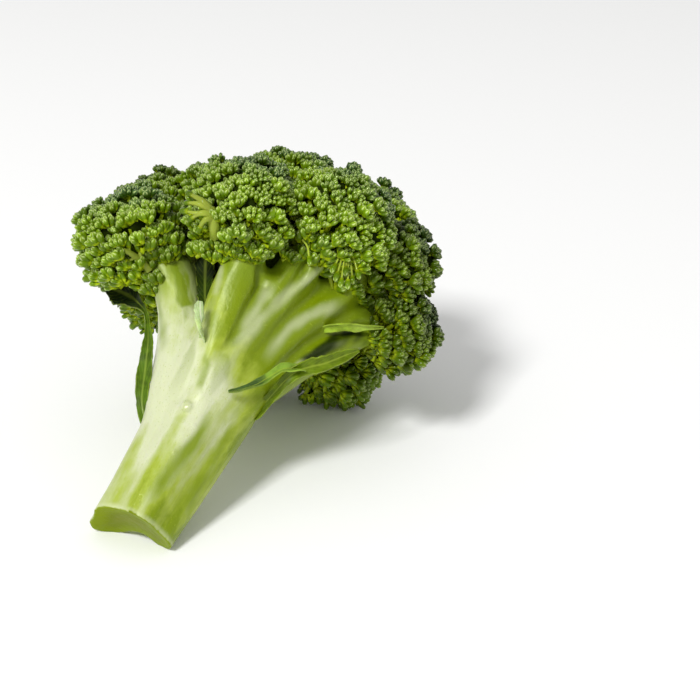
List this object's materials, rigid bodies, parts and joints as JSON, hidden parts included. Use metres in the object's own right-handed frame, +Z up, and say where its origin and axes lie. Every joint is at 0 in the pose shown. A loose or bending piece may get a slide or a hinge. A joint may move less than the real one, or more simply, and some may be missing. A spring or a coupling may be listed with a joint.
{
  "type": "broccoli head",
  "caption": "Fresh broccoli head cut from its plant and lying on its side: pale fluted stalk, branches, bumpy green florets and small leaves.",
  "frame": {"origin": "on the resting surface, under the middle of the box round the whole head", "axes": "+Z up from the surface the head lies on; +X along the stalk as seen from above, from the cut end towards the florets; +Y to the left of that"},
  "size_m": [0.1676, 0.1326, 0.1178],
  "materials": {
    "stalk_skin": "smooth waxy pale green stalk, moist",
    "buds": "dark green flower buds with a bluish bloom, satin",
    "leaf_skin": "thin green leaf, satin",
    "bract_skin": "pale glaucous leaf scale, satin"
  },
  "bodies": {
    "root": {"bract": "bract_skin", "floret_back": "buds", "floret_back_left": "buds", "floret_back_right": "buds", "floret_front": "buds", "floret_front_left": "buds", "floret_left": "buds", "floret_low_right": "buds", "floret_middle": "buds", "floret_middle_left": "buds", "floret_middle_right": "buds", "floret_outer_right": "buds", "floret_right": "buds", "floret_top": "buds", "floret_top_left": "buds", "floret_top_right": "buds", "leaf_inner": "leaf_skin", "leaf_left": "leaf_skin", "leaf_right": "leaf_skin", "leaf_upper": "leaf_skin", "stalk": "stalk_skin"}
  },
  "joints": []
}
